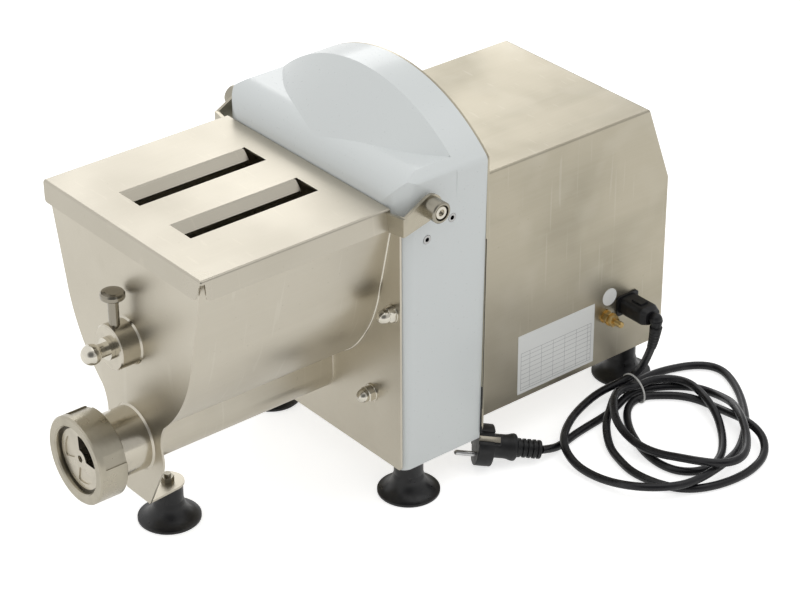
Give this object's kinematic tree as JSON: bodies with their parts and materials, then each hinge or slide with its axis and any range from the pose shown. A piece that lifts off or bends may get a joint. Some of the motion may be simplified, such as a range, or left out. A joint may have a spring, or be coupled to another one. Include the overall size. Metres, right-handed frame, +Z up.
{
  "type": "electric pasta maker",
  "caption": "Bench-top electric pasta maker: lidded mixing hopper with auger, die and ring nut, white hood, stainless motor housing, five rubber feet and a mains lead.",
  "frame": {"origin": "on the floor, under the middle of the machine's length and width", "axes": "+Z up, -Y towards the die, +X towards the mains inlet"},
  "size_m": [0.4176, 0.613, 0.364],
  "materials": {
    "brushed_stainless": "brushed stainless sheet, fine grain",
    "turned_stainless": "turned and cast stainless, satin",
    "polished_stainless": "polished stainless",
    "white_enamel": "cool white powder coat, smooth",
    "black_rubber": "matt black moulded rubber",
    "black_cord": "black rubber-sheathed cord",
    "black_plastic": "black moulded plastic",
    "brass": "plain brass",
    "label_film": "pale blank label film",
    "pale_tie": "pale nylon tie",
    "zinc_steel": "zinc plated steel",
    "plate_steel": "machined steel plate",
    "gear_steel": "oiled gear steel",
    "cast_aluminium": "as-cast aluminium",
    "motor_iron": "laminated motor iron",
    "seal_rubber": "brown seal rubber",
    "white_plastic": "white plastic",
    "green_plastic": "green button cap",
    "red_plastic": "red button cap"
  },
  "bodies": {
    "machine": {"hopper_trough": "brushed_stainless", "hopper_front_plate": "brushed_stainless", "hopper_back_plate": "brushed_stainless", "barrel_tube": "turned_stainless", "mixer_boss": "turned_stainless", "acorn_nuts": "polished_stainless", "extrusion_die": "turned_stainless", "mixer_axle": "polished_stainless", "pivot_bolts": "polished_stainless", "hood_cover": "white_enamel", "hood_screws": "zinc_steel", "hinge_brackets": "plate_steel", "hood_bulkhead": "brushed_stainless", "hood_base": "brushed_stainless", "housing_cover": "brushed_stainless", "housing_base": "brushed_stainless", "blank_labels": "label_film", "foot_front": "black_rubber", "foot_middle_right": "black_rubber", "foot_middle_left": "black_rubber", "foot_rear_right": "black_rubber", "foot_rear_left": "black_rubber", "foot_bolts": "zinc_steel", "gear_plates": "plate_steel", "shaft_bearings": "gear_steel", "shaft_seals": "seal_rubber", "reducer_case": "cast_aluminium", "motor_end_bells": "cast_aluminium", "motor_stator": "motor_iron", "motor_cradle": "plate_steel", "run_capacitor": "white_plastic", "switch_box": "black_plastic", "earth_stud": "brass", "inlet_socket": "black_plastic", "cord_connector": "black_plastic", "cord_lead": "black_cord", "cord_tail": "black_cord", "cord_coil": "black_cord", "cord_tie": "pale_tie", "plug_body": "black_plastic", "plug_pins": "zinc_steel"},
    "lid": {"lid": "brushed_stainless", "lid_arms": "turned_stainless", "hinge_bushes": "turned_stainless"},
    "clamp_nut": {"ring_nut": "turned_stainless"},
    "thrust_ring": {"pressure_ring": "turned_stainless"},
    "lock_pin": {"lock_pin": "polished_stainless"},
    "auger": {"auger": "turned_stainless", "auger_gear": "gear_steel"},
    "mixer": {"mixer_paddle": "turned_stainless", "mixer_shaft": "gear_steel", "mixer_gear": "gear_steel"},
    "output_shaft": {"output_shaft": "gear_steel", "output_gear": "gear_steel"},
    "lay_shaft": {"lay_shaft": "gear_steel", "lay_gear": "gear_steel"},
    "motor_rotor": {"rotor": "gear_steel", "cooling_fan": "black_plastic"},
    "start_button": {"start_button": "green_plastic"},
    "stop_button": {"stop_button": "red_plastic"}
  },
  "joints": [
    {"name": "lid_hinge", "type": "hinge", "parent": "machine", "child": "lid", "pos_m": [0, -0.0165, 0.2935], "axis": [-1, 0, 0], "range_deg": [0, 60]},
    {"name": "nut_advance", "type": "slide", "parent": "machine", "child": "thrust_ring", "axis": [0, -1, 0], "range_m": [0, 0.018]},
    {"name": "nut_turn", "type": "hinge", "parent": "thrust_ring", "child": "clamp_nut", "pos_m": [0, -0.2785, 0.096], "axis": [0, -1, 0], "range_deg": [0, 2160]},
    {"name": "lock_pin_lift", "type": "slide", "parent": "machine", "child": "lock_pin", "axis": [0, 0, 1], "range_m": [0, 0.013]},
    {"name": "rotor_spin", "type": "hinge", "parent": "machine", "child": "motor_rotor", "pos_m": [0, 0, 0.144], "axis": [0, 1, 0], "continuous": true},
    {"name": "lay_spin", "type": "hinge", "parent": "machine", "child": "lay_shaft", "pos_m": [0, 0, 0.198], "axis": [0, 1, 0], "continuous": true},
    {"name": "output_spin", "type": "hinge", "parent": "machine", "child": "output_shaft", "pos_m": [0, 0, 0.144], "axis": [0, 1, 0], "continuous": true},
    {"name": "auger_spin", "type": "hinge", "parent": "machine", "child": "auger", "pos_m": [0, 0, 0.096], "axis": [0, 1, 0], "continuous": true},
    {"name": "mixer_spin", "type": "hinge", "parent": "machine", "child": "mixer", "pos_m": [0, 0, 0.19], "axis": [0, 1, 0], "continuous": true},
    {"name": "start_press", "type": "slide", "parent": "machine", "child": "start_button", "axis": [1, 0, 0], "range_m": [0, 0.003], "stiffness_N_per_m": 300, "springref_m": -0.002},
    {"name": "stop_press", "type": "slide", "parent": "machine", "child": "stop_button", "axis": [1, 0, 0], "range_m": [0, 0.003], "stiffness_N_per_m": 300, "springref_m": -0.002}
  ],
  "couplings": [
    {"joint": "nut_advance", "follows": "nut_turn", "m_per_rad": 0.00047746},
    {"joint": "lay_spin", "follows": "rotor_spin", "ratio": -0.2},
    {"joint": "output_spin", "follows": "rotor_spin", "ratio": 0.057143},
    {"joint": "auger_spin", "follows": "rotor_spin", "ratio": -0.023529},
    {"joint": "mixer_spin", "follows": "rotor_spin", "ratio": -0.025}
  ]
}
